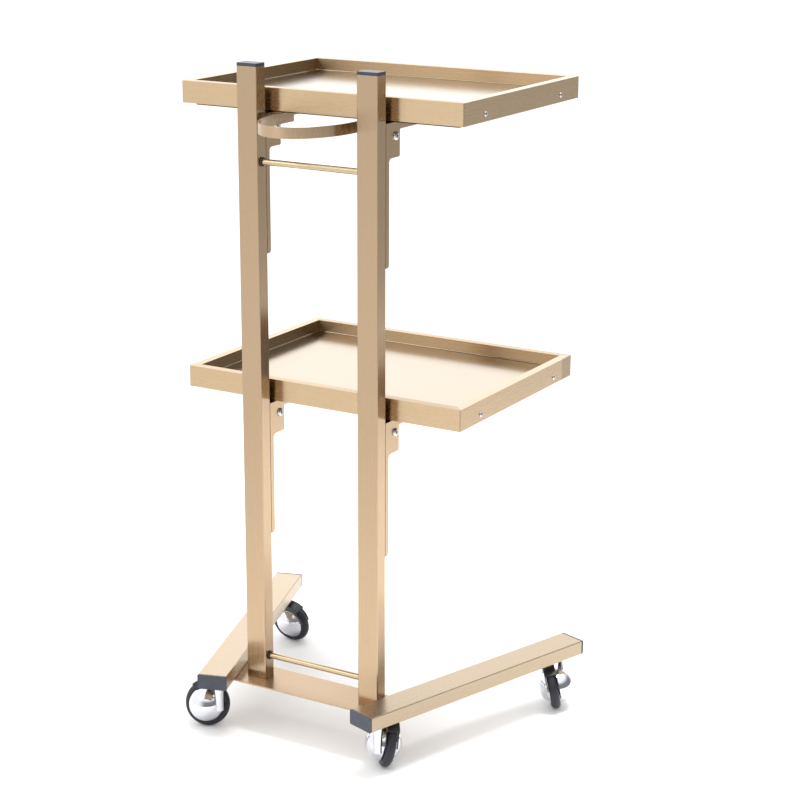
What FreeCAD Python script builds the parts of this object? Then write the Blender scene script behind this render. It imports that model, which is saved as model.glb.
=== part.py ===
import FreeCAD, Part
import math
import os
import re

# Rolling salon trolley. Millimetres, +Z up, floor at Z = 0.
# -Y is the front (upright side); the trays reach towards +Y.

doc = FreeCAD.newDocument("SalonTrolley")
sheet = doc.addObject("Spreadsheet::Sheet", "Dims")

SIZES = {
    # where the upright frame sits inside the whole trolley's footprint
    "shift_x": -0.62,
    "shift_y": -134.57,
    # legs: flat rectangular tubes that splay out towards the rear
    "leg_wide": 40.0,
    "leg_high": 20.0,
    "leg_wall": 1.5,
    "leg_long": 390.0,
    "leg_front_x": 116.0,
    "leg_front_y": -64.6,
    "leg_splay": 18.2,
    "leg_under": 70.6,
    "tube_round": 1.6,
    "leg_cap_thick": 3.0,
    "cap_plug": 10.0,
    # plate under the legs that carries the uprights
    "plate_thick": 2.0,
    "plate_front_y": -21.0,
    "plate_rear_y": 41.0,
    "plate_overlap": 30.0,
    # uprights
    "upright_wide": 30.0,
    "upright_deep": 20.0,
    "upright_wall": 1.5,
    "upright_space": 176.0,
    "upright_top": 892.6,
    "upright_cap_thick": 4.0,
    # tie rods
    "rod_r": 4.0,
    "collar_r": 6.0,
    "collar_thick": 2.0,
    "upper_rod_z": 773.2,
    "lower_rod_z": 103.1,
    # trays
    "tray_wide": 414.0,
    "tray_deep": 314.0,
    "tray_front_y": 26.0,
    "upper_tray_top": 864.8,
    "lower_tray_top": 485.8,
    "rim_high": 28.5,
    "rim_thick": 12.0,
    "rim_skin": 1.2,
    "rim_round": 2.0,
    "pan_drop": 15.0,
    "pan_lip": 1.0,
    "pan_skin": 0.6,
    "base_inset": 13.0,
    "base_below": 3.5,
    "base_skin": 1.5,
    "screw_r": 1.5,
    "screw_long": 14.5,
    "screw_head_r": 3.4,
    "screw_head_high": 1.7,
    "screw_up": 9.5,
    "screw_half_space": 103.0,
    # brackets behind the uprights
    "bracket_skin": 2.0,
    "bracket_strip": 7.5,
    "bracket_head": 33.0,
    "bracket_arm": 155.0,
    "bracket_arm_high": 9.5,
    "bracket_head_high": 43.5,
    "bracket_high": 179.0,
    "bolt_y": 22.5,
    "bolt_down": 17.0,
    "bolt_r": 3.0,
    "bolt_hole_r": 3.2,
    "bolt_head_r": 5.5,
    "bolt_head_high": 3.2,
    "nut_across": 10.0,
    "nut_high": 5.0,
    # dryer holder
    "holder_high": 14.0,
    "holder_skin": 2.0,
    "holder_half": 60.3,
    "holder_reach": 91.0,
    "holder_mid_y": 21.6,
    "holder_back_y": 62.0,
    # casters
    "front_caster_in": 30.0,
    "rear_caster_in": 21.5,
    "wheel_tilt": 12.0,
    "wheel_side": 15.6,
    "wheel_trail": 19.9,
    "tyre_r": 31.0,
    "tyre_half": 6.5,
    "tyre_crown_r": 6.725,
    "rim_r": 22.0,
    "rim_inner_r": 20.5,
    "dome_r": 24.3,
    "dome_shift": 5.5,
    "dome_skin": 1.5,
    "hood_start": 8.4,
    "fender_start": 7.2,
    "fender_inner_r": 31.8,
    "fender_outer_r": 33.0,
    "fender_low_r": 28.5,
    "fender_hood_side_r": 22.8,
    "fender_wheel_side_r": 24.0,
    "fender_cheek_arc": 160.0,
    "fender_crown_arc": 80.0,
    "axle_r": 3.0,
    "axle_start": -12.0,
    "axle_end": 24.0,
    "hub_bore_r": 3.05,
    "hub_r": 7.0,
    "hub_end": 5.5,
    "axle_boss_r": 6.0,
    "stem_r": 4.0,
    "stem_low": 36.0,
    "stem_high": 84.6,
    "stem_boss_r": 6.0,
    "stem_boss_low": 28.0,
    "stem_boss_high": 70.2,
    "socket_bore_r": 4.05,
    "socket_high": 16.0,
}

for row, (alias, value) in enumerate(SIZES.items(), start=1):
    sheet.set("A%d" % row, alias)
    sheet.set("B%d" % row, str(value))
    sheet.setAlias("B%d" % row, alias)
doc.recompute()

V = FreeCAD.Vector
nodes = []


def linked(expression):
    """Turn bare size names into references to the sheet."""
    return re.sub(r"[a-z][a-z_]*", lambda word: "Dims." + word.group(0), expression)


def solid(kind, name, **links):
    """A Part primitive whose properties follow the sheet."""
    item = doc.addObject("Part::" + kind, name)
    for prop, expression in links.items():
        place = {"x": "Placement.Base.x", "y": "Placement.Base.y", "z": "Placement.Base.z"}
        item.setExpression(place.get(prop, prop), linked(expression))
    return item


def box(name, wide, deep, high, x="0", y="0", z="0"):
    return solid("Box", name, Length=wide, Width=deep, Height=high, x=x, y=y, z=z)


def rod(name, radius, length, x="0", y="0", z="0", along="z"):
    """A cylinder that starts at x, y, z and runs along one axis."""
    item = solid("Cylinder", name, Radius=radius, Height=length)
    turn = {
        "x": FreeCAD.Rotation(V(0, 1, 0), 90),
        "y": FreeCAD.Rotation(V(1, 0, 0), -90),
        "z": FreeCAD.Rotation(),
    }
    item.Placement = FreeCAD.Placement(V(0, 0, 0), turn[along])
    for axis, expression in zip("xyz", (x, y, z)):
        item.setExpression("Placement.Base." + axis, linked(expression))
    return item


def cut(name, base, *tools):
    tool = tools[0] if len(tools) == 1 else fuse(name + "_tools", *tools)
    item = doc.addObject("Part::Cut", name)
    item.Base = base
    item.Tool = tool
    return item


def fuse(name, *shapes):
    item = doc.addObject("Part::MultiFuse", name)
    item.Shapes = list(shapes)
    return item


def common(name, *shapes):
    item = doc.addObject("Part::MultiCommon", name)
    item.Shapes = list(shapes)
    return item


def group(name, *shapes):
    item = doc.addObject("Part::Compound", name)
    item.Links = list(shapes)
    return item


def rounded(name, base, size):
    """Round the four edges of a box that run along its height."""
    item = doc.addObject("Part::Fillet", name)
    item.Base = base
    radius = SIZES[size]
    item.Edges = [(edge, radius, radius) for edge in (1, 3, 5, 7)]
    return item


def node(item, label, placement=None, x="0", y="0"):
    """Finish a sub-part: name it and put it in the trolley."""
    item.Label = label
    if placement is None:
        item.setExpression("Placement.Base.x", linked("shift_x + " + x))
        item.setExpression("Placement.Base.y", linked("shift_y + " + y))
    else:
        shift = V(SIZES["shift_x"], SIZES["shift_y"], 0)
        item.Placement = FreeCAD.Placement(shift, FreeCAD.Rotation()).multiply(placement)
    nodes.append(item)
    return item


# ---------------------------------------------------------------- legs

splay = math.radians(SIZES["leg_splay"])


def leg_placement(side):
    """side is -1 for the left leg and 1 for the right one; local Z runs along the leg."""
    along = V(side * math.sin(splay), math.cos(splay), 0)
    across = V(0, 0, 1).cross(along)
    turn = FreeCAD.Rotation(across, V(0, 0, 1), along, "ZYX")
    front = V(side * SIZES["leg_front_x"], SIZES["leg_front_y"], SIZES["leg_under"])
    return FreeCAD.Placement(front, turn)


def leg_point(side, distance):
    """A point under the leg's centre line, measured from its front end."""
    return leg_placement(side).multVec(V(0, 0, distance))


caster_holes = ["front_caster_in", "leg_long - rear_caster_in"]

for side, side_name in ((-1, "left"), (1, "right")):
    place = leg_placement(side)
    tube = side_name + "_leg_"
    tube_long = "leg_long - 2 * leg_cap_thick"
    outer = box(tube + "skin", "leg_wide", "leg_high", tube_long,
                x="-leg_wide / 2", z="leg_cap_thick")
    inner = box(tube + "hollow", "leg_wide - 2 * leg_wall", "leg_high - 2 * leg_wall", tube_long,
                x="leg_wall - leg_wide / 2", y="leg_wall", z="leg_cap_thick")
    holes = [
        rod(tube + "hole_%d" % index, "stem_boss_r", "2 * leg_wall",
            y="-leg_wall", z=distance, along="y")
        for index, distance in enumerate(caster_holes)
    ]
    node(cut(tube + "tube", rounded(tube + "round", outer, "tube_round"), inner, *holes),
         side_name + "_leg", place)

    ends = {
        "front": ("0", "leg_cap_thick"),
        "rear": ("leg_long - leg_cap_thick", "leg_long - leg_cap_thick - cap_plug"),
    }
    for end, (flange_z, plug_z) in ends.items():
        cap = side_name + "_leg_" + end + "_cap"
        flange = box(cap + "_flange", "leg_wide", "leg_high", "leg_cap_thick",
                     x="-leg_wide / 2", z=flange_z)
        plug = box(cap + "_plug", "leg_wide - 2 * leg_wall", "leg_high - 2 * leg_wall", "cap_plug",
                   x="leg_wall - leg_wide / 2", y="leg_wall", z=plug_z)
        node(fuse(cap + "_body", rounded(cap + "_round", flange, "tube_round"), plug), cap, place)

# ---------------------------------------------------------------- base plate


def plate_edge(y):
    """Half length of the plate at one y: it runs in under each leg."""
    inner_x = SIZES["leg_front_x"] - SIZES["leg_wide"] / 2 / math.cos(splay)
    inner_x += (y - SIZES["leg_front_y"]) * math.tan(splay)
    return inner_x + SIZES["plate_overlap"]


plate_body = doc.addObject("PartDesign::Body", "base_plate_body")
outline = plate_body.newObject("Sketcher::SketchObject", "base_plate_outline")
floor_plane = [plane for plane in plate_body.Origin.OriginFeatures if plane.Role == "XY_Plane"]
outline.AttachmentSupport = [(floor_plane[0], "")]
outline.MapMode = "FlatFace"
front_half = plate_edge(SIZES["plate_front_y"])
rear_half = plate_edge(SIZES["plate_rear_y"])
corners = [
    V(-front_half, SIZES["plate_front_y"], 0),
    V(front_half, SIZES["plate_front_y"], 0),
    V(rear_half, SIZES["plate_rear_y"], 0),
    V(-rear_half, SIZES["plate_rear_y"], 0),
]
for index, corner in enumerate(corners):
    outline.addGeometry(Part.LineSegment(corner, corners[(index + 1) % 4]), False)
plate_pad = plate_body.newObject("PartDesign::Pad", "base_plate_pad")
plate_pad.Profile = outline
plate_pad.setExpression("Length", "Dims.plate_thick")
plate_body.Tip = plate_pad
plate_low = V(0, 0, SIZES["leg_under"] - SIZES["plate_thick"])
node(plate_body, "base_plate", FreeCAD.Placement(plate_low, FreeCAD.Rotation()))

# ---------------------------------------------------------------- uprights

for side, side_name in (("-", "left"), ("", "right")):
    name = side_name + "_upright"
    middle = side + "upright_space / 2"
    high = "upright_top - leg_under"
    outer = box(name + "_skin", "upright_wide", "upright_deep", high,
                x=middle + " - upright_wide / 2", z="leg_under")
    inner = box(name + "_hollow", "upright_wide - 2 * upright_wall",
                "upright_deep - 2 * upright_wall", high,
                x=middle + " - upright_wide / 2 + upright_wall", y="upright_wall", z="leg_under")
    node(cut(name + "_tube", rounded(name + "_round", outer, "tube_round"), inner), name)

    flange = box(name + "_cap_flange", "upright_wide", "upright_deep", "upright_cap_thick",
                 x=middle + " - upright_wide / 2", z="upright_top")
    plug = box(name + "_cap_plug", "upright_wide - 2 * upright_wall",
               "upright_deep - 2 * upright_wall", "cap_plug",
               x=middle + " - upright_wide / 2 + upright_wall", y="upright_wall",
               z="upright_top - cap_plug")
    node(fuse(name + "_cap_body", rounded(name + "_cap_round", flange, "tube_round"), plug),
         name + "_cap")

# ---------------------------------------------------------------- tie rods

rod_left = "upright_wide / 2 - upright_space / 2"
rod_long = "upright_space - upright_wide"
collars = []
for level in ("upper", "lower"):
    name = level + "_tie_rod"
    high = level + "_rod_z"
    node(rod(name + "_bar", "rod_r", rod_long, z=high, along="x"), name,
         x=rod_left, y="upright_deep / 2")
    starts = {"left": rod_left, "right": "upright_space / 2 - upright_wide / 2 - collar_thick"}
    for end, start in starts.items():
        ring = rod(name + "_ring_" + end, "collar_r", "collar_thick",
                   x=start, y="upright_deep / 2", z=high, along="x")
        hole = rod(name + "_ring_hole_" + end, "rod_r", "collar_thick",
                   x=start, y="upright_deep / 2", z=high, along="x")
        collars.append(cut(name + "_collar_" + end, ring, hole))
node(group("collar_set", *collars), "tie_rod_collars")

# ---------------------------------------------------------------- trays

for level in ("upper", "lower"):
    name = level + "_tray"
    top = level + "_tray_top"
    left = "-tray_wide / 2"
    back_face = "tray_front_y"

    # screws first: their shanks pierce the rim and the base
    screws = []
    shanks = {"rim": [], "base": []}
    for sign, end in (("-", "front"), ("+", "rear")):
        screw_y = "tray_front_y + tray_deep / 2 %s screw_half_space" % sign
        screw_z = top + " - rim_high + screw_up"
        for hand in ("left", "right"):
            if hand == "left":
                shank_x = left
                head_x = left + " - screw_head_high"
            else:
                shank_x = "tray_wide / 2 - screw_long"
                head_x = "tray_wide / 2"
            tag = "%s_screw_%s_%s" % (name, hand, end)
            shank = rod(tag + "_shank", "screw_r", "screw_long",
                        x=shank_x, y=screw_y, z=screw_z, along="x")
            head = rod(tag + "_head", "screw_head_r", "screw_head_high",
                       x=head_x, y=screw_y, z=screw_z, along="x")
            screws.append(fuse(tag, shank, head))
            for target in shanks:
                shanks[target].append(rod("%s_%s_hole" % (tag, target), "screw_r", "screw_long",
                                          x=shank_x, y=screw_y, z=screw_z, along="x"))

    # rim: a folded rail, open underneath
    rim_z = top + " - rim_high"
    rim_outer = box(name + "_rim_outer", "tray_wide", "tray_deep", "rim_high",
                    x=left, y=back_face, z=rim_z)
    rim_well = box(name + "_rim_well", "tray_wide - 2 * rim_thick", "tray_deep - 2 * rim_thick",
                   "rim_high", x=left + " + rim_thick", y=back_face + " + rim_thick", z=rim_z)
    fold_outer = box(name + "_fold_outer", "tray_wide - 2 * rim_skin", "tray_deep - 2 * rim_skin",
                     "rim_high - rim_skin", x=left + " + rim_skin", y=back_face + " + rim_skin",
                     z=rim_z)
    fold_inset = "rim_thick - rim_skin"
    fold_inner = box(name + "_fold_inner", "tray_wide - 2 * (%s)" % fold_inset,
                     "tray_deep - 2 * (%s)" % fold_inset, "rim_high",
                     x=left + " + " + fold_inset, y=back_face + " + " + fold_inset, z=rim_z)
    fold = cut(name + "_fold", fold_outer, fold_inner)
    node(cut(name + "_rim_body", rounded(name + "_rim_round", rim_outer, "rim_round"),
             rim_well, fold, *shanks["rim"]), name + "_rim")

    # pan: flat floor with a low lip all round
    pan_wide = "tray_wide - 2 * rim_thick"
    pan_deep = "tray_deep - 2 * rim_thick"
    pan_z = top + " - pan_drop - pan_lip"
    pan_block = box(name + "_pan_block", pan_wide, pan_deep, "pan_lip + pan_skin",
                    x=left + " + rim_thick", y=back_face + " + rim_thick", z=pan_z + " - pan_skin")
    pan_well = box(name + "_pan_well", pan_wide + " - 2 * pan_skin", pan_deep + " - 2 * pan_skin",
                   "pan_lip", x=left + " + rim_thick + pan_skin",
                   y=back_face + " + rim_thick + pan_skin", z=pan_z)
    node(cut(name + "_pan_body", pan_block, pan_well), name + "_pan")

    # base: shallow box that carries the pan and stands a little below the rim
    base_wide = "tray_wide - 2 * base_inset"
    base_deep = "tray_deep - 2 * base_inset"
    base_z = top + " - rim_high - base_below"
    base_high = "rim_high + base_below - pan_drop - pan_lip - pan_skin"
    base_block = box(name + "_base_block", base_wide, base_deep, base_high,
                     x=left + " + base_inset", y=back_face + " + base_inset", z=base_z)
    base_well = box(name + "_base_well", base_wide + " - 2 * base_skin",
                    base_deep + " - 2 * base_skin", base_high,
                    x=left + " + base_inset + base_skin", y=back_face + " + base_inset + base_skin",
                    z=base_z + " + base_skin")
    node(cut(name + "_base_body", base_block, base_well, *shanks["base"]), name + "_base")
    node(group(name + "_screw_set", *screws), name + "_screws")

# ---------------------------------------------------------------- brackets

bolts = []
nuts = []


def bracket_profile(name, top_z):
    """Side view of a bracket in the YZ plane: strip, head and arm, corners eased."""
    rear = SIZES["upright_deep"]
    strip = rear + SIZES["bracket_strip"]
    head = rear + SIZES["bracket_head"]
    arm = rear + SIZES["bracket_arm"]
    low = top_z - SIZES["bracket_high"]
    shoulder = top_z - SIZES["bracket_head_high"]
    arm_low = top_z - SIZES["bracket_arm_high"]
    outline = [
        (rear, low, 0.0), (strip, low, 4.0), (strip, shoulder, 5.0), (head, shoulder, 2.0),
        (head, arm_low, 2.0), (arm, arm_low, 3.0), (arm, top_z, 0.0), (rear, top_z, 0.0),
    ]
    sketch = doc.addObject("Sketcher::SketchObject", name + "_profile")
    sketch.Placement = FreeCAD.Placement(V(0, 0, 0), FreeCAD.Rotation(V(1, 1, 1), 120))
    ends = []
    for index, (y, z, radius) in enumerate(outline):
        here = V(y, z, 0)
        before = V(*outline[index - 1][:2], 0)
        after = V(*outline[(index + 1) % len(outline)][:2], 0)
        towards = (before - here).normalize()
        onwards = (after - here).normalize()
        start = here + towards * radius
        finish = here + onwards * radius
        if radius:
            middle = here + (towards + onwards) * radius * (1 - math.sqrt(0.5))
            sketch.addGeometry(Part.Arc(start, middle, finish), False)
        ends.append((start, finish))
    for index, (start, finish) in enumerate(ends):
        sketch.addGeometry(Part.LineSegment(finish, ends[(index + 1) % len(ends)][0]), False)
    return sketch


for level in ("upper", "lower"):
    under = level + "_tray_top - rim_high - base_below"
    top_z = SIZES[level + "_tray_top"] - SIZES["rim_high"] - SIZES["base_below"]
    for side, side_name in (("-", "left"), ("", "right")):
        name = "%s_%s_bracket" % (level, side_name)
        middle = side + "upright_space / 2"
        block = doc.addObject("Part::Extrusion", name + "_block")
        block.Base = bracket_profile(name, top_z)
        block.DirMode = "Normal"
        block.Solid = True
        block.setExpression("LengthFwd", "Dims.upright_wide")
        block.setExpression("Placement.Base.x", linked(middle + " - upright_wide / 2"))
        channel = box(name + "_channel", "upright_wide - 2 * bracket_skin", "bracket_arm",
                      "bracket_high", x=middle + " - upright_wide / 2 + bracket_skin",
                      y="upright_deep + bracket_skin",
                      z=under + " - bracket_skin - bracket_high")
        bolt_y = "upright_deep + bolt_y"
        bolt_z = under + " - bolt_down"
        hole = rod(name + "_hole", "bolt_hole_r", "upright_wide",
                   x=middle + " - upright_wide / 2", y=bolt_y, z=bolt_z, along="x")
        node(cut(name + "_body", block, channel, hole), name)

        shank = rod(name + "_bolt_shank", "bolt_r", "upright_wide + nut_high + 1",
                    x=middle + " - upright_wide / 2 - nut_high - 1", y=bolt_y, z=bolt_z, along="x")
        head = rod(name + "_bolt_head", "bolt_head_r", "bolt_head_high",
                   x=middle + " + upright_wide / 2", y=bolt_y, z=bolt_z, along="x")
        bolts.append(fuse(name + "_bolt", shank, head))
        blank = doc.addObject("Part::Prism", name + "_nut_blank")
        blank.Polygon = 6
        blank.Placement = FreeCAD.Placement(V(0, 0, 0), FreeCAD.Rotation(V(0, 1, 0), 90))
        blank.setExpression("Circumradius", "Dims.nut_across / 1.7320508")
        blank.setExpression("Height", "Dims.nut_high")
        nut_x = middle + " - upright_wide / 2 - nut_high"
        for axis, expression in zip("xyz", (nut_x, bolt_y, bolt_z)):
            blank.setExpression("Placement.Base." + axis, linked(expression))
        bore = rod(name + "_nut_bore", "bolt_r", "nut_high", x=nut_x, y=bolt_y, z=bolt_z, along="x")
        nuts.append(cut(name + "_nut", blank, bore))
node(group("bolt_set", *bolts), "bracket_bolts")
node(group("nut_set", *nuts), "bracket_nuts")

# ---------------------------------------------------------------- dryer holder

holder_z = "upper_tray_top - rim_high - base_below - holder_high"


def oval(name, grow):
    """Elliptic slab: long axis along Y, grown by a multiple of the band's thickness."""
    ring = doc.addObject("Part::Ellipse", name + "_edge")
    ring.setExpression("MajorRadius", linked("holder_reach + (%s) * holder_skin" % grow))
    ring.setExpression("MinorRadius", linked("holder_half + (%s) * holder_skin" % grow))
    ring.Placement = FreeCAD.Placement(V(0, 0, 0), FreeCAD.Rotation(V(0, 0, 1), 90))
    ring.setExpression("Placement.Base.y", "Dims.holder_mid_y")
    ring.setExpression("Placement.Base.z", linked(holder_z))
    slab = doc.addObject("Part::Extrusion", name)
    slab.Base = ring
    slab.DirMode = "Normal"
    slab.Solid = True
    slab.setExpression("LengthFwd", "Dims.holder_high")
    return slab


front_half_space = box("holder_front", "4 * holder_half", "2 * holder_reach", "holder_high",
                       x="-2 * holder_half", y="holder_mid_y - 2 * holder_reach", z=holder_z)
bow = common("holder_bow", cut("holder_ring", oval("holder_outer", "0"), oval("holder_inner", "-1")),
             front_half_space)
arms = [
    box("holder_arm_" + hand, "holder_skin", "holder_back_y - holder_mid_y", "holder_high",
        x=start, y="holder_mid_y", z=holder_z)
    for hand, start in (("left", "-holder_half"), ("right", "holder_half - holder_skin"))
]
node(fuse("holder_body", bow, *arms), "dryer_holder")

# ---------------------------------------------------------------- casters

tilt = math.radians(SIZES["wheel_tilt"])
crown_centre = SIZES["tyre_r"] - SIZES["tyre_crown_r"]
wheel_z = crown_centre * math.cos(tilt) + SIZES["tyre_crown_r"]
wheel_frame = FreeCAD.Placement(
    V(-SIZES["wheel_side"], -SIZES["wheel_trail"], wheel_z),
    FreeCAD.Rotation(V(0, 1, 0), 90 - SIZES["wheel_tilt"]))


def turned(name, radius, length, start, arc=None):
    """A cylinder about the wheel's axle, or a sector of one centred on the upper side."""
    item = solid("Cylinder", name, Radius=radius, Height=length)
    local = FreeCAD.Placement(V(0, 0, start), FreeCAD.Rotation())
    if arc is not None:
        item.setExpression("Angle", "Dims." + arc)
        local.Rotation = FreeCAD.Rotation(V(0, 0, 1), 180 - SIZES[arc] / 2)
    item.Placement = wheel_frame.multiply(local)
    return item


def ball(name, radius):
    """A sphere about the dome's centre, which sits off the tyre's mid plane."""
    item = solid("Sphere", name, Radius=radius)
    middle = FreeCAD.Placement(V(0, 0, SIZES["dome_shift"]), FreeCAD.Rotation())
    item.Placement = wheel_frame.multiply(middle)
    return item


def revolve(name, outline, place):
    """Revolve a closed outline of (radius, height) corners and arcs about local Z."""
    sketch = doc.addObject("Sketcher::SketchObject", name + "_profile")
    sketch.Placement = FreeCAD.Placement(V(0, 0, 0), FreeCAD.Rotation(V(1, 0, 0), 90))
    for edge in outline:
        points = [V(radius, height, 0) for radius, height in edge]
        if len(points) == 3:
            sketch.addGeometry(Part.Arc(*points), False)
        else:
            sketch.addGeometry(Part.LineSegment(*points), False)
    item = doc.addObject("Part::Revolution", name)
    item.Source = sketch
    item.Axis = V(0, 0, 1)
    item.Base = V(0, 0, 0)
    item.Angle = 360
    item.Solid = True
    item.Placement = place
    return item


def leg_of(hypotenuse, other):
    """Remaining side of a right triangle."""
    return math.sqrt(hypotenuse ** 2 - other ** 2)


def wheel_outline():
    """Half section of the wheel: dome, rim under the tyre, hub and its blind bore."""
    outer = SIZES["dome_r"]
    inner = outer - SIZES["dome_skin"]
    middle = SIZES["dome_shift"]
    side = SIZES["tyre_half"]
    rim = SIZES["rim_r"]
    rim_inner = SIZES["rim_inner_r"]
    hub = SIZES["hub_r"]
    bore = SIZES["hub_bore_r"]
    bore_low = SIZES["axle_start"] - 1
    lip = leg_of(outer, side + middle)
    half_lip = lip / 2
    belly = (rim_inner + hub) / 2
    corners = [
        (0, bore_low), (0, middle - outer), (lip, -side), (rim, -side), (rim, side), (rim_inner, side),
        (rim_inner, middle - leg_of(inner, rim_inner)), (hub, middle - leg_of(inner, hub)),
        (hub, SIZES["hub_end"]), (bore, SIZES["hub_end"]), (bore, bore_low),
    ]
    edges = [[corner, corners[(index + 1) % len(corners)]] for index, corner in enumerate(corners)]
    edges[1].insert(1, (half_lip, middle - leg_of(outer, half_lip)))
    edges[6].insert(1, (belly, middle - leg_of(inner, belly)))
    return edges


def tyre_outline():
    rim = SIZES["rim_r"]
    side = SIZES["tyre_half"]
    shoulder = crown_centre + leg_of(SIZES["tyre_crown_r"], side)
    return [
        [(rim, -side), (rim, side)],
        [(rim, side), (shoulder, side)],
        [(shoulder, side), (SIZES["tyre_r"], 0), (shoulder, -side)],
        [(shoulder, -side), (rim, -side)],
    ]


casters = {
    "front_left": (-1, "front", 291.0),
    "front_right": (1, "front", 219.0),
    "rear_left": (-1, "rear", 89.0),
    "rear_right": (1, "rear", 34.0),
}

for corner, (side, end, heading) in casters.items():
    name = corner + "_caster_"
    distance = SIZES["front_caster_in"]
    if end == "rear":
        distance = SIZES["leg_long"] - SIZES["rear_caster_in"]
    stem_axis = leg_point(side, distance)
    stem_axis.z = 0
    swivel = FreeCAD.Placement(stem_axis, FreeCAD.Rotation(V(0, 0, 1), heading))
    rolling = swivel.multiply(wheel_frame)

    sleeve = rod(name + "sleeve", "stem_boss_r", "socket_high", z="leg_under")
    sleeve_bore = rod(name + "sleeve_bore", "socket_bore_r", "socket_high", z="leg_under")
    node(cut(name + "socket_body", sleeve, sleeve_bore), name + "socket", swivel)

    pin = solid("Cylinder", name + "pin", Radius="stem_r", Height="stem_high - stem_low")
    low = FreeCAD.Placement(V(0, 0, SIZES["stem_low"]), FreeCAD.Rotation())
    node(pin, name + "stem", swivel.multiply(low))

    # hood: half ball with a boss for the axle and a boss for the stem
    hood_start = SIZES["hood_start"]
    half_space = turned(name + "hood_side", "dome_r", "dome_r + dome_shift", hood_start)
    shell = common(name + "hood_shell", half_space,
                   cut(name + "hood_skin", ball(name + "hood_ball", "dome_r"),
                       ball(name + "hood_hollow", "dome_r - dome_skin")))
    axle_boss = common(name + "axle_boss", ball(name + "axle_boss_ball", "dome_r"),
                       turned(name + "axle_boss_bar", "axle_boss_r", "dome_r + dome_shift", hood_start))
    stem_boss = cut(name + "stem_boss",
                    rod(name + "stem_boss_bar", "stem_boss_r", "stem_boss_high - stem_boss_low",
                        z="stem_boss_low"),
                    ball(name + "stem_boss_hollow", "dome_r - dome_skin"))
    hood = cut(name + "hood_body", fuse(name + "hood_solid", shell, axle_boss, stem_boss),
               rod(name + "stem_bore", "stem_r", "stem_high - stem_low", z="stem_low"),
               turned(name + "axle_bore", "axle_r", "axle_end - axle_start", SIZES["axle_start"]))
    node(hood, name + "hood", swivel)

    # fender: a crown over the tyre, with cheeks that reach down either side of it
    cheek = SIZES["fender_start"]
    thick = "hood_start - fender_start"
    cheeks = []
    for face, start, eye in (("hood", cheek, "fender_hood_side_r"),
                             ("wheel", -hood_start, "fender_wheel_side_r")):
        tag = name + face + "_cheek_"
        low = turned(tag + "low", "fender_low_r", thick, start, "fender_cheek_arc")
        high = turned(tag + "high", "fender_outer_r", thick, start, "fender_crown_arc")
        disc = fuse(tag + "disc", low, high)
        cheeks.append(cut(tag + "plate", disc, turned(tag + "eye_disc", eye, thick, start)))
    crown = cut(name + "crown",
                turned(name + "crown_disc", "fender_outer_r", "2 * fender_start", -cheek,
                       "fender_crown_arc"),
                turned(name + "crown_eye", "fender_inner_r", "2 * fender_start", -cheek))
    node(fuse(name + "fender_body", crown, *cheeks), name + "fender", swivel)

    axle = solid("Cylinder", name + "axle_bar", Radius="axle_r", Height="axle_end - axle_start")
    start = FreeCAD.Placement(V(0, 0, SIZES["axle_start"]), FreeCAD.Rotation())
    node(axle, name + "axle", rolling.multiply(start))
    node(revolve(name + "wheel_body", wheel_outline(), FreeCAD.Placement()), name + "wheel", rolling)
    node(revolve(name + "tyre_body", tyre_outline(), FreeCAD.Placement()), name + "tyre", rolling)

# ---------------------------------------------------------------- checks and export

doc.recompute()
os.makedirs("parts", exist_ok=True)
for item in nodes:
    if "Invalid" in item.State or "Error" in item.State:
        raise RuntimeError("%s did not rebuild: %s" % (item.Label, item.State))
    if item.Shape.isNull() or not item.Shape.isValid() or item.Shape.Volume <= 0:
        raise RuntimeError("%s has no valid solid" % item.Label)
    item.Shape.exportStep("parts/%s.step" % item.Label)

whole = FreeCAD.BoundBox()
for item in nodes:
    whole.add(item.Shape.optimalBoundingBox(False, False))
print("nodes %d, size %.1f x %.1f x %.1f, X %.2f..%.2f Y %.2f..%.2f Z %.2f..%.2f" % (
    len(nodes), whole.XLength, whole.YLength, whole.ZLength,
    whole.XMin, whole.XMax, whole.YMin, whole.YMax, whole.ZMin, whole.ZMax))
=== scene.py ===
import math

import bmesh
import bpy
from mathutils import Matrix, Vector


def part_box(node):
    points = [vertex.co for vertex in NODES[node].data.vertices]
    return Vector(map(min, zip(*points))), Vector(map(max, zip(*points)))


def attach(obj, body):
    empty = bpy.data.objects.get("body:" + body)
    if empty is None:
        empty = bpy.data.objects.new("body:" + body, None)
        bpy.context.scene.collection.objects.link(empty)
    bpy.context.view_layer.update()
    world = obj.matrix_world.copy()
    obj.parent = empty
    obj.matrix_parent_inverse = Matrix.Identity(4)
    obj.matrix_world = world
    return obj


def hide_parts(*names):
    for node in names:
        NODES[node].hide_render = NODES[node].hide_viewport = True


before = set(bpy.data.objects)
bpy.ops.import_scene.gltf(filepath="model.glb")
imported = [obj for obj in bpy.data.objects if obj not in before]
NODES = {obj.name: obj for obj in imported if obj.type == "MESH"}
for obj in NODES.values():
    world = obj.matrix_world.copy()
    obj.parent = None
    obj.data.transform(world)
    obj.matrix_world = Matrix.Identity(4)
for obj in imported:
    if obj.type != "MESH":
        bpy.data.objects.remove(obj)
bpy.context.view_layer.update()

MM = 0.001
scene = bpy.context.scene
scene.view_settings.view_transform = "Standard"
scene.view_settings.look = "None"


def centre_of(*nodes):
    """Middle of the box round some CAD nodes."""
    lows, highs = zip(*(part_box(node) for node in nodes))
    low = Vector(min(corner[axis] for corner in lows) for axis in range(3))
    high = Vector(max(corner[axis] for corner in highs) for axis in range(3))
    return (low + high) / 2


# The uprights' front face, midway between them, at floor level.
front = centre_of("left_upright", "right_upright")
front.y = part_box("left_upright")[0].y
front.z = 0.0

# ---------------------------------------------------------------- camera

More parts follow.
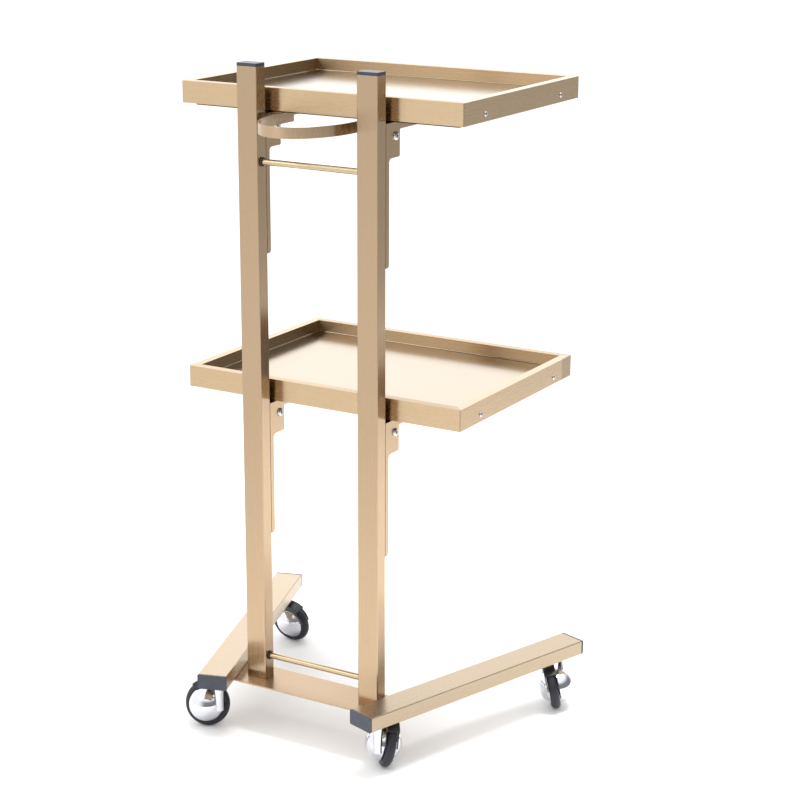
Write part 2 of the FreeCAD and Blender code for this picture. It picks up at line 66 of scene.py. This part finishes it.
CAMERA_PLACE = Vector((1.3499, -2.0638, 1.1868))
CAMERA_AZIMUTH = -30.472
CAMERA_DOWN = 16.116
CAMERA_ROLL = 0.21
CAMERA_LENS = 90.34
CAMERA_SENSOR = 36.0
CAMERA_FAR = 200.0


def make_camera():
    azimuth = math.radians(CAMERA_AZIMUTH)
    down = math.radians(CAMERA_DOWN)
    roll = math.radians(CAMERA_ROLL)
    ahead = Vector((math.cos(down) * math.sin(azimuth),
                    math.cos(down) * math.cos(azimuth),
                    -math.sin(down)))
    right = ahead.cross(Vector((0, 0, 1))).normalized()
    up = right.cross(ahead)
    right, up = (right * math.cos(roll) + up * math.sin(roll),
                 up * math.cos(roll) - right * math.sin(roll))
    data = bpy.data.cameras.new("camera")
    data.lens = CAMERA_LENS
    data.sensor_width = CAMERA_SENSOR
    data.clip_end = CAMERA_FAR
    camera = bpy.data.objects.new("camera", data)
    scene.collection.objects.link(camera)
    camera.matrix_world = (Matrix.Translation(front + CAMERA_PLACE)
                           @ Matrix((right, up, -ahead)).transposed().to_4x4())
    scene.camera = camera


make_camera()

# ---------------------------------------------------------------- light and floor

SKY_ABOVE = 1.45
SKY_LEFT = 1.42
SKY_RIGHT = 0.30
BACKDROP_GLOW = 0.70
BACKDROP_WAY = (-0.52, 0.83, 0.2)


def make_world():
    """White studio: bright overhead and to the left, dim to the right, with a lit backdrop."""
    world = bpy.data.worlds.new("studio")
    scene.world = world
    world.use_nodes = True
    tree = world.node_tree

    def ramp(source, from_low, from_high, low, high):
        made = tree.nodes.new("ShaderNodeMapRange")
        made.interpolation_type = "SMOOTHSTEP"
        tree.links.new(source, made.inputs["Value"])
        ends = {"From Min": from_low, "From Max": from_high, "To Min": low, "To Max": high}
        for socket, value in ends.items():
            if isinstance(value, bpy.types.NodeSocket):
                tree.links.new(value, made.inputs[socket])
            else:
                made.inputs[socket].default_value = value
        return made.outputs["Result"]

    way = tree.nodes.new("ShaderNodeTexCoord").outputs["Generated"]
    parts = tree.nodes.new("ShaderNodeSeparateXYZ")
    tree.links.new(way, parts.inputs[0])
    sideways = ramp(parts.outputs["X"], -0.40, 0.45, SKY_LEFT, SKY_RIGHT)
    to_backdrop = tree.nodes.new("ShaderNodeVectorMath")
    to_backdrop.operation = "DOT_PRODUCT"
    to_backdrop.inputs[1].default_value = Vector(BACKDROP_WAY).normalized()
    tree.links.new(way, to_backdrop.inputs[0])
    glow = ramp(to_backdrop.outputs["Value"], 0.35, 1.0, 0.0, BACKDROP_GLOW)
    around = tree.nodes.new("ShaderNodeMath")
    around.operation = "ADD"
    tree.links.new(sideways, around.inputs[0])
    tree.links.new(glow, around.inputs[1])
    strength = ramp(parts.outputs["Z"], 0.35, 0.75, around.outputs[0], SKY_ABOVE)
    tree.links.new(strength, tree.nodes["Background"].inputs["Strength"])
    tree.nodes["Background"].inputs["Color"].default_value = (1.0, 1.0, 1.0, 1.0)


def area_light(name, place, target, size, power):
    data = bpy.data.lights.new(name, "AREA")
    data.shape = "RECTANGLE"
    data.size, data.size_y = size
    data.energy = power
    lamp = bpy.data.objects.new(name, data)
    scene.collection.objects.link(lamp)
    lamp.location = place
    lamp.rotation_euler = (Vector(target) - Vector(place)).to_track_quat("-Z", "Y").to_euler()


def pool_light(name, place, radius, softness, lamp_radius, power):
    """A lamp overhead that lights a round pool of floor of the given radius."""
    data = bpy.data.lights.new(name, "SPOT")
    data.energy = power
    data.spot_size = 2.0 * math.atan2(radius, place[2])
    data.spot_blend = softness
    data.shadow_soft_size = lamp_radius
    lamp = bpy.data.objects.new(name, data)
    scene.collection.objects.link(lamp)
    lamp.location = place


FLOOR_TONE = 0.93
FLOOR_ROUGH = 0.9
FLOOR_HALF = 60.0
# The floor dims along this level direction, between these two distances from the origin.
DIM_TONE = 0.50
DIM_WAY = (0.944, 0.329, 0.0)
DIM_FROM = 1.0
DIM_TO = 2.6


def make_floor():
    """Pale floor that falls off into the dim side of the studio, well clear of the trolley."""
    half = FLOOR_HALF
    corners = [(-half, -half, 0), (half, -half, 0), (half, half, 0), (-half, half, 0)]
    mesh = bpy.data.meshes.new("floor")
    mesh.from_pydata(corners, [], [(0, 1, 2, 3)])
    floor = bpy.data.objects.new("floor", mesh)
    scene.collection.objects.link(floor)
    material = bpy.data.materials.new("floor")
    material.use_nodes = True
    tree = material.node_tree
    shader = tree.nodes["Principled BSDF"]
    shader.inputs["Roughness"].default_value = FLOOR_ROUGH
    shader.inputs["Specular IOR Level"].default_value = 0.0
    place = tree.nodes.new("ShaderNodeTexCoord")
    across = tree.nodes.new("ShaderNodeVectorMath")
    across.operation = "DOT_PRODUCT"
    across.inputs[1].default_value = DIM_WAY
    tree.links.new(place.outputs["Object"], across.inputs[0])
    fade = tree.nodes.new("ShaderNodeMapRange")
    fade.interpolation_type = "SMOOTHSTEP"
    fade.inputs["From Min"].default_value = DIM_FROM
    fade.inputs["From Max"].default_value = DIM_TO
    fade.inputs["To Min"].default_value = FLOOR_TONE
    fade.inputs["To Max"].default_value = DIM_TONE
    tree.links.new(across.outputs["Value"], fade.inputs["Value"])
    tree.links.new(fade.outputs["Result"], shader.inputs["Base Color"])
    mesh.materials.append(material)


make_world()
area_light("key", place=(-1.3, -2.2, 2.4), target=(-0.4, -0.8, 0.2), size=(1.6, 1.2), power=11)
pool_light("pool", place=(0.36, 0.38, 4.0), radius=1.60, softness=0.6, lamp_radius=0.9, power=620)
make_floor()

# ---------------------------------------------------------------- materials


class Graph:
    """A material's nodes, with short ways to make and join them."""

    def __init__(self, name):
        self.material = bpy.data.materials.new(name)
        self.material.use_nodes = True
        self.tree = self.material.node_tree
        self.shader = self.tree.nodes["Principled BSDF"]

    def node(self, kind, **settings):
        made = self.tree.nodes.new("ShaderNode" + kind)
        for setting, value in settings.items():
            setattr(made, setting, value)
        return made

    def feed(self, socket, value):
        if isinstance(value, bpy.types.NodeSocket):
            self.tree.links.new(value, socket)
        else:
            socket.default_value = value

    def math(self, operation, *values):
        made = self.node("Math", operation=operation)
        for socket, value in zip(made.inputs, values):
            self.feed(socket, value)
        return made.outputs[0]

    def vector(self, operation, *values):
        made = self.node("VectorMath", operation=operation)
        for socket, value in zip(made.inputs, values):
            self.feed(socket, value)
        return made.outputs["Value" if operation == "DOT_PRODUCT" else "Vector"]

    def noise(self, vector, scale, detail, roughness):
        made = self.node("TexNoise")
        self.feed(made.inputs["Vector"], vector)
        made.inputs["Scale"].default_value = scale
        made.inputs["Detail"].default_value = detail
        made.inputs["Roughness"].default_value = roughness
        return made.outputs["Fac"]

    def span(self, value, low, high, from_low=0.0, from_high=1.0, smooth=False):
        made = self.node("MapRange")
        if smooth:
            made.interpolation_type = "SMOOTHSTEP"
        self.feed(made.inputs["Value"], value)
        made.inputs["From Min"].default_value = from_low
        made.inputs["From Max"].default_value = from_high
        made.inputs["To Min"].default_value = low
        made.inputs["To Max"].default_value = high
        return made.outputs["Result"]

    def mix(self, factor, first, second):
        made = self.node("Mix", data_type="RGBA")
        self.feed(made.inputs[0], factor)
        self.feed(made.inputs[6], first)
        self.feed(made.inputs[7], second)
        return made.outputs[2]

    def place(self):
        return self.node("TexCoord").outputs["Object"]

    def bump(self, height, distance, strength=1.0):
        made = self.node("Bump")
        made.inputs["Strength"].default_value = strength
        made.inputs["Distance"].default_value = distance
        self.feed(made.inputs["Height"], height)
        return made.outputs["Normal"]

    def edges(self, radius):
        """1 where an edge is within radius, 0 on flats."""
        soft = self.node("Bevel", samples=4)
        soft.inputs["Radius"].default_value = radius
        flat = self.node("NewGeometry").outputs["Normal"]
        facing = self.vector("DOT_PRODUCT", soft.outputs["Normal"], flat)
        return self.span(facing, 1.0, 0.0, 0.80, 0.995, smooth=True)

    def constant(self, value):
        """A vector that is the same all over."""
        made = self.node("CombineXYZ")
        for socket, part in zip(made.inputs, value):
            socket.default_value = part
        return made.outputs["Vector"]


def tinted(colour, factor):
    """A colour made lighter or darker."""
    return tuple(min(1.0, part * factor) for part in colour[:3]) + (1.0,)


def grain_frame(graph, along):
    """Coordinates with X along the grain, for a grain direction that stays level or upright."""
    along = Vector(along).normalized()
    side = along.cross(Vector((0, 0, 1))) if abs(along.z) < 0.9 else Vector((1, 0, 0))
    side.normalize()
    third = along.cross(side)
    here = graph.place()
    join = graph.node("CombineXYZ")
    for socket, axis in zip(join.inputs, (along, side, third)):
        graph.feed(socket, graph.vector("DOT_PRODUCT", here, axis))
    return join.outputs["Vector"]


# Brushed grain: how often each kind of mark repeats per metre, along the grain and across it.
SCRATCHES = (8.0, 3400.0, 3400.0)
STREAKS = (1.2, 420.0, 420.0)
CLOUDS = (3.0, 14.0, 14.0)
DEEP_LINES = (5.0, 900.0, 900.0)
SHADE_SPREAD = 0.015
ROUGH_SPREAD = 0.05
GOLD_ROUGH = 0.27
SCRATCH_DEEP = 0.002 * MM
RIM_SCRATCH_DEEP = 0.001 * MM
WORN_EDGE = 0.9 * MM


def brush(graph, lengthwise, tone, rough, depth, tangent):
    """Brushed metal: fine scratches along the grain, with soft streaks and a few deeper lines."""
    shader = graph.shader

    def marks(repeats, detail, roughness):
        return graph.noise(graph.vector("MULTIPLY", lengthwise, repeats), 1.0, detail, roughness)

    fine = marks(SCRATCHES, 2.0, 0.65)
    streak = marks(STREAKS, 2.0, 0.5)
    cloud = marks(CLOUDS, 2.0, 0.5)
    deep = graph.span(marks(DEEP_LINES, 1.0, 0.5), 0.0, 1.0, 0.66, 0.74, smooth=True)
    blend = graph.math("ADD", graph.math("MULTIPLY", fine, 0.50),
                       graph.math("MULTIPLY", streak, 0.20))
    blend = graph.math("ADD", blend, graph.math("MULTIPLY", cloud, 0.30))
    shade = graph.span(blend, 0.0, 1.0, 0.36, 0.64)
    colour = graph.mix(shade, tinted(tone, 1.0 - SHADE_SPREAD), tinted(tone, 1.0 + SHADE_SPREAD))
    colour = graph.mix(graph.math("MULTIPLY", deep, 0.5), colour,
                       tinted(tone, 1.0 - 4.0 * SHADE_SPREAD))
    worn = graph.edges(WORN_EDGE)
    colour = graph.mix(graph.math("MULTIPLY", worn, 0.35), colour, tinted(tone, 1.25))
    graph.feed(shader.inputs["Base Color"], colour)
    shader.inputs["Metallic"].default_value = 1.0
    roughness = graph.span(blend, rough * (1.0 - ROUGH_SPREAD), rough * (1.0 + ROUGH_SPREAD),
                           0.35, 0.65)
    graph.feed(shader.inputs["Roughness"], roughness)
    graph.feed(shader.inputs["Normal"], graph.bump(fine, depth))
    shader.inputs["Anisotropic"].default_value = 0.95
    shader.inputs["Anisotropic Rotation"].default_value = 0.25
    graph.feed(shader.inputs["Tangent"], tangent)


GOLD = (0.45, 0.325, 0.21)
RIM_GOLD = (0.50, 0.368, 0.23)
LEG_GOLD = (0.43, 0.34, 0.24)
PALE_GOLD = (0.37, 0.30, 0.215)
ROD_GOLD = (0.50, 0.39, 0.25)
BRONZE = (0.10, 0.072, 0.052)


def gold(name, along, tone=GOLD, rough=GOLD_ROUGH, depth=SCRATCH_DEEP):
    """Brushed metal whose grain runs along one direction."""
    graph = Graph(name)
    brush(graph, grain_frame(graph, along), tone, rough, depth, graph.constant(along))
    return graph.material


# Painted dark reflection near the far right corner of the lower rim: its length back from the far
# end, and its depth in from the right side.
REFLECTION_PATCH_LONG = 28 * MM
REFLECTION_PATCH_DEEP = 3 * MM


def rim_gold(name, node, painted_corner_reflection):
    """Gold for a rectangular rim: the grain follows each side and meets in a mitre at the corners.

    With its last argument set, the right side near the far end gets a painted dark reflection:
    a darker square, edged by a darker line.
    """
    tone = RIM_GOLD
    low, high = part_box(node)
    middle, half = (low + high) / 2, (high - low) / 2
    graph = Graph(name)
    offset = graph.vector("ABSOLUTE", graph.vector("SUBTRACT", graph.place(), middle))
    parts = graph.node("SeparateXYZ")
    graph.feed(parts.inputs[0], offset)
    from_side = graph.math("SUBTRACT", half.x, parts.outputs["X"])
    from_end = graph.math("SUBTRACT", half.y, parts.outputs["Y"])
    mitre = graph.math("SUBTRACT", from_side, from_end)
    on_side = graph.math("LESS_THAN", mitre, 0.0)
    swap = graph.node("Mix", data_type="VECTOR")
    graph.feed(swap.inputs[0], on_side)
    graph.feed(swap.inputs[4], grain_frame(graph, (1, 0, 0)))
    graph.feed(swap.inputs[5], grain_frame(graph, (0, 1, 0)))
    way = graph.node("Mix", data_type="VECTOR")
    graph.feed(way.inputs[0], on_side)
    way.inputs[4].default_value = (1, 0, 0)
    way.inputs[5].default_value = (0, 1, 0)
    brush(graph, swap.outputs[1], tone, GOLD_ROUGH, RIM_SCRATCH_DEEP, way.outputs[1])
    # the seam of the mitre, ground flush
    seam = graph.span(graph.math("ABSOLUTE", mitre), 1.0, 0.0, 0.0002, 0.0007, smooth=True)
    colour = graph.shader.inputs["Base Color"].links[0].from_socket
    colour = graph.mix(graph.math("MULTIPLY", seam, 0.45), colour, tinted(tone, 0.55))
    # painted dark reflection: the right side near the far end is made darker, edged by a darker
    # line
    if painted_corner_reflection:
        place = graph.node("SeparateXYZ")
        graph.feed(place.inputs[0], graph.place())
        on_right = graph.math("GREATER_THAN", place.outputs["X"], high.x - REFLECTION_PATCH_DEEP)
        from_reflection_edge = graph.math("SUBTRACT", place.outputs["Y"], high.y - REFLECTION_PATCH_LONG)
        on_painted_reflection = graph.math("MULTIPLY", graph.math("GREATER_THAN", from_reflection_edge, 0.0), on_right)
        line = graph.span(graph.math("ABSOLUTE", from_reflection_edge), 1.0, 0.0, 0.0002, 0.0008, smooth=True)
        line = graph.math("MULTIPLY", line, on_right)
        colour = graph.mix(on_painted_reflection, colour, tinted(tone, 0.72))
        colour = graph.mix(graph.math("MULTIPLY", line, 0.6), colour, tinted(tone, 0.4))
    graph.feed(graph.shader.inputs["Base Color"], colour)
    return graph.material


def plastic(name, tone, rough, grain, depth):
    """Moulded plastic: fine grain in the tool's surface, faint flow marks and rubbed edges."""
    graph = Graph(name)
    here = graph.place()
    speckle = graph.noise(here, grain, 3.0, 0.6)
    flow = graph.noise(here, 90.0, 2.0, 0.5)
    shade = graph.span(flow, 0.0, 1.0, 0.3, 0.7)
    colour = graph.mix(shade, tinted(tone, 0.88), tinted(tone, 1.12))
    worn = graph.edges(0.0007)
    colour = graph.mix(graph.math("MULTIPLY", worn, 0.5), colour, tinted(tone, 1.9))
    graph.feed(graph.shader.inputs["Base Color"], colour)
    roughness = graph.span(speckle, rough - 0.07, rough + 0.07, 0.3, 0.7)
    graph.feed(graph.shader.inputs["Roughness"], roughness)
    graph.feed(graph.shader.inputs["Normal"], graph.bump(speckle, depth))
    return graph.material


def chrome(name, tone, rough):
    """Plated metal: a near mirror with faint wiping marks and a trace of orange peel."""
    graph = Graph(name)
    here = graph.place()
    smear = graph.noise(graph.vector("MULTIPLY", here, (60.0, 60.0, 240.0)), 1.0, 3.0, 0.6)
    peel = graph.noise(here, 420.0, 1.0, 0.4)
    dust = graph.noise(here, 1500.0, 2.0, 0.5)
    shade = graph.span(smear, 0.0, 1.0, 0.35, 0.7)
    colour = graph.mix(shade, tinted(tone, 0.95), tinted(tone, 1.03))
    graph.feed(graph.shader.inputs["Base Color"], colour)
    graph.shader.inputs["Metallic"].default_value = 1.0
    marks = graph.math("ADD", graph.span(smear, 0.0, 0.05, 0.45, 0.8),
                       graph.span(dust, 0.0, 0.06, 0.6, 0.8))
    graph.feed(graph.shader.inputs["Roughness"], graph.math("ADD", marks, rough))
    graph.feed(graph.shader.inputs["Normal"], graph.bump(peel, 0.00002, 0.5))
    return graph.material


def rubber(name, tone):
    """Tyre rubber: matt, with a little dust in the pores."""
    graph = Graph(name)
    here = graph.place()
    pore = graph.noise(here, 2600.0, 2.0, 0.6)
    patch = graph.noise(here, 120.0, 3.0, 0.6)
    shade = graph.span(patch, 0.0, 1.0, 0.35, 0.7)
    colour = graph.mix(shade, tinted(tone, 0.85), tinted(tone, 1.35))
    graph.feed(graph.shader.inputs["Base Color"], colour)
    graph.feed(graph.shader.inputs["Roughness"], graph.span(patch, 0.38, 0.55, 0.3, 0.7))
    graph.shader.inputs["Specular IOR Level"].default_value = 0.35
    graph.feed(graph.shader.inputs["Normal"], graph.bump(pore, 0.00004, 0.6))
    return graph.material


# ---------------------------------------------------------------- dressing the CAD nodes

# The legs splay by this angle, and their grain runs along them.
SPLAY = math.radians(18.2)
LEG_WAY = {
    "left": (-math.sin(SPLAY), math.cos(SPLAY), 0.0),
    "right": (math.sin(SPLAY), math.cos(SPLAY), 0.0),
}
WELD_WITHIN = 0.002 * MM
EDGE_SOFT = 0.5 * MM
EDGE_FROM = math.radians(32)


def finishes():
    """Material of every CAD node."""
    slate = plastic("slate_cap", (0.034, 0.039, 0.056), 0.42, 2400.0, 0.03 * MM)
    black = plastic("black_fender", (0.020, 0.021, 0.026), 0.30, 1800.0, 0.02 * MM)
    bright = chrome("chrome_plate", (0.66, 0.67, 0.71), 0.05)
    zinc = chrome("zinc_plate", (0.50, 0.50, 0.50), 0.22)
    tyre = rubber("tyre_rubber", (0.017, 0.017, 0.025))
    upright = gold("upright_gold", (0, 0, 1))
    cross = gold("cross_gold", (1, 0, 0))
    bronze = gold("collar_bronze", (1, 0, 0), BRONZE, 0.35)
    made = {"base_plate": cross, "dryer_holder": cross, "tie_rod_collars": bronze}
    for side in ("left", "right"):
        made[side + "_upright"] = upright
        made[side + "_upright_cap"] = slate
        made[side + "_leg"] = gold(side + "_leg_gold", LEG_WAY[side], LEG_GOLD)
        for end in ("front", "rear"):
            made["%s_leg_%s_cap" % (side, end)] = slate
    rod = gold("rod_gold", (1, 0, 0), ROD_GOLD, 0.20, RIM_SCRATCH_DEEP)
    pan = gold("pan_gold", (1, 0, 0), PALE_GOLD, 0.12)
    underside = gold("underside_bronze", (1, 0, 0), BRONZE, 0.4)
    for level in ("upper", "lower"):
        tray = level + "_tray_"
        made[level + "_tie_rod"] = rod
        made[tray + "rim"] = rim_gold(tray + "rim_gold", tray + "rim", level == "lower")
        made[tray + "pan"] = pan
        made[tray + "base"] = underside
        made[tray + "screws"] = bright
        for side in ("left", "right"):
            made["%s_%s_bracket" % (level, side)] = upright
    for node in ("bracket_bolts", "bracket_nuts"):
        made[node] = bright
    for end in ("front", "rear"):
        for side in ("left", "right"):
            caster = "%s_%s_caster_" % (end, side)
            for piece in ("socket", "stem", "axle"):
                made[caster + piece] = zinc
            for piece in ("hood", "wheel"):
                made[caster + piece] = bright
            made[caster + "fender"] = black
            made[caster + "tyre"] = tyre
    return made


def dress(node, material):
    """Give a CAD node its material, soft edges and smooth curves."""
    item = NODES[node]
    mesh = item.data
    mesh.materials.clear()
    mesh.materials.append(material)
    for face in mesh.polygons:
        face.material_index = 0
    weld = item.modifiers.new("weld", "WELD")
    weld.merge_threshold = WELD_WITHIN
    edge = item.modifiers.new("edge", "BEVEL")
    edge.width = EDGE_SOFT
    edge.segments = 2
    edge.limit_method = "ANGLE"
    edge.angle_limit = EDGE_FROM
    mesh.shade_smooth()
    flats = item.modifiers.new("flats", "WEIGHTED_NORMAL")
    flats.weight = 100


for node, material in finishes().items():
    dress(node, material)

# ---------------------------------------------------------------- detailed fasteners

STEPS = 72
SCREW_HEAD_R = 3.4 * MM
SCREW_HEAD_HIGH = 1.7 * MM
SCREW_R = 1.5 * MM
SCREW_LONG = 14.5 * MM
SCREW_CROSS = 3.8 * MM
SCREW_CROSS_WIDE = 0.95 * MM
SCREW_CROSS_DEEP = 1.5 * MM
SCREW_TURNS = (20, 65)
BOLT_HEAD_R = 5.5 * MM
BOLT_HEAD_HIGH = 3.2 * MM
BOLT_R = 3.0 * MM
BOLT_SHANK_R = 2.97 * MM
BOLT_HEX = 4.6 * MM
BOLT_HEX_DEEP = 2.4 * MM
BOLT_TURN = 13
NUT_ACROSS = 10.0 * MM
NUT_HIGH = 5.0 * MM
BOLT_PAST_NUT = 1.0 * MM
THREAD_CHAMFER = 0.4 * MM


def lathe(mesh, place, rings, closed=False):
    """Skin through rings about place's Z axis.

    A ring is (radius, height), each a number or a function of the angle.
    """
    loops = []
    for ring in rings:
        loop = []
        for step in range(STEPS):
            angle = 2 * math.pi * step / STEPS
            radius, height = (part(angle) if callable(part) else part for part in ring)
            point = Vector((radius * math.cos(angle), radius * math.sin(angle), height))
            loop.append(mesh.verts.new(place @ point))
        loops.append(loop)
    pairs = list(zip(loops, loops[1:] + loops[:1]))
    for first, second in pairs if closed else pairs[:-1]:
        for step in range(STEPS):
            mesh.faces.new((first[step - 1], first[step], second[step], second[step - 1]))
    if not closed:
        mesh.faces.new(list(reversed(loops[0])))
        mesh.faces.new(loops[-1])


def hexagon(across):
    """Outline radius of a hexagon of that size across its flats."""
    sector = math.pi / 3

    def radius(angle):
        return across / 2 / math.cos(angle % sector - sector / 2)
    return radius


def cross(long, wide):
    """Outline radius of a plus sign."""
    def bar(c, s):
        return min(long / 2 / max(abs(c), 1e-6), wide / 2 / max(abs(s), 1e-6))

    def radius(angle):
        c, s = math.cos(angle), math.sin(angle)
        return max(bar(c, s), bar(s, c))
    return radius


def dome(radius, edge, high):
    """Height of a domed head at a distance from its middle."""
    return lambda away: edge + (high - edge) * math.sqrt(max(0.0, 1.0 - (away / radius) ** 2))


def headed(mesh, place, shank_r, shank_long, head_r, head_high, recess, recess_deep):
    """Fastener with a domed head standing on place's XY plane and its shank below."""
    cap = dome(head_r, 0.25 * head_high, head_high)
    rings = [
        (0.6 * shank_r, -shank_long),
        (shank_r, -shank_long + 0.5 * MM),
        (shank_r, 0.0),
        (head_r * 0.97, 0.0),
        (head_r, 0.1 * head_high),
    ]
    for share in (0.995, 0.97, 0.92, 0.85, 0.77, 0.69):
        rings.append((head_r * share, cap(head_r * share)))
    rings.append((lambda angle: 1.06 * recess(angle), lambda angle: cap(1.06 * recess(angle))))
    rings.append((recess, lambda angle: cap(recess(angle)) - 0.1 * MM))
    rings.append((lambda angle: 0.86 * recess(angle), head_high - recess_deep))
    lathe(mesh, place, rings)


def nut(mesh, place):
    """Hexagon nut, chamfered on both faces, standing on place's XY plane."""
    outline = hexagon(NUT_ACROSS)
    inscribed = NUT_ACROSS / 2

    def drop(angle):
        return (outline(angle) - inscribed) * math.tan(math.radians(30))
    lathe(mesh, place, [
        (BOLT_R, THREAD_CHAMFER),
        (BOLT_R + THREAD_CHAMFER, 0.0),
        (0.97 * inscribed, 0.0),
        (outline, drop),
        (outline, lambda angle: NUT_HIGH - drop(angle)),
        (0.97 * inscribed, NUT_HIGH),
        (BOLT_R + THREAD_CHAMFER, NUT_HIGH),
        (BOLT_R, NUT_HIGH - THREAD_CHAMFER),
    ], closed=True)


def facing(point, way, turn=0.0):
    """Placement at point with its Z axis along way, turned about that axis by degrees."""
    spin = Matrix.Rotation(math.radians(turn), 4, "Z")
    aim = Vector(way).to_track_quat("Z", "Y").to_matrix().to_4x4()
    return Matrix.Translation(point) @ aim @ spin


def fasteners(node, fill, material):
    """One piece that stands for a CAD node of fasteners; fill puts them in."""
    mesh = bmesh.new()
    fill(mesh)
    bmesh.ops.recalc_face_normals(mesh, faces=mesh.faces)
    data = bpy.data.meshes.new(node + "_detail")
    mesh.to_mesh(data)
    mesh.free()
    data.shade_smooth()
    data.materials.append(material)
    item = bpy.data.objects.new(node + "_detail", data)
    scene.collection.objects.link(item)
    crisp = item.modifiers.new("crisp", "EDGE_SPLIT")
    crisp.split_angle = math.radians(38)
    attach(item, "frame")
    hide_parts(node)


def tray_screws(level):
    """What puts in the four screws of a tray: two through each short side."""
    low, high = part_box(level + "_tray_screws")
    recess = cross(SCREW_CROSS, SCREW_CROSS_WIDE)

    def fill(mesh):
        height = (low.z + high.z) / 2
        for y, turn in zip((low.y + SCREW_HEAD_R, high.y - SCREW_HEAD_R), SCREW_TURNS):
            for x, way in ((low.x + SCREW_HEAD_HIGH, -1), (high.x - SCREW_HEAD_HIGH, 1)):
                headed(mesh, facing((x, y, height), (way, 0, 0), turn), SCREW_R, SCREW_LONG,
                       SCREW_HEAD_R, SCREW_HEAD_HIGH, recess, SCREW_CROSS_DEEP)
    return fill


def at_bolts():
    """Where each bracket's bolt head and nut sit: (head side, nut side)."""
    low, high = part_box("bracket_bolts")
    along = (low.y + high.y) / 2
    for level, height in (("upper", high.z - BOLT_HEAD_R), ("lower", low.z + BOLT_HEAD_R)):
        for side in ("left", "right"):
            start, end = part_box("%s_%s_bracket" % (level, side))
            yield Vector((end.x, along, height)), Vector((start.x, along, height))


def bracket_bolts(mesh):
    for turn, (head_side, nut_side) in enumerate(at_bolts()):
        long = head_side.x - nut_side.x + NUT_HIGH + BOLT_PAST_NUT
        headed(mesh, facing(head_side, (1, 0, 0), BOLT_TURN * turn), BOLT_SHANK_R, long,
               BOLT_HEAD_R, BOLT_HEAD_HIGH, hexagon(BOLT_HEX), BOLT_HEX_DEEP)


def bracket_nuts(mesh):
    for _, nut_side in at_bolts():
        nut(mesh, facing(nut_side, (-1, 0, 0)))


steel = chrome("fastener_steel", (0.62, 0.62, 0.63), 0.16)
for level in ("upper", "lower"):
    fasteners(level + "_tray_screws", tray_screws(level), steel)
fasteners("bracket_bolts", bracket_bolts, steel)
fasteners("bracket_nuts", bracket_nuts, steel)
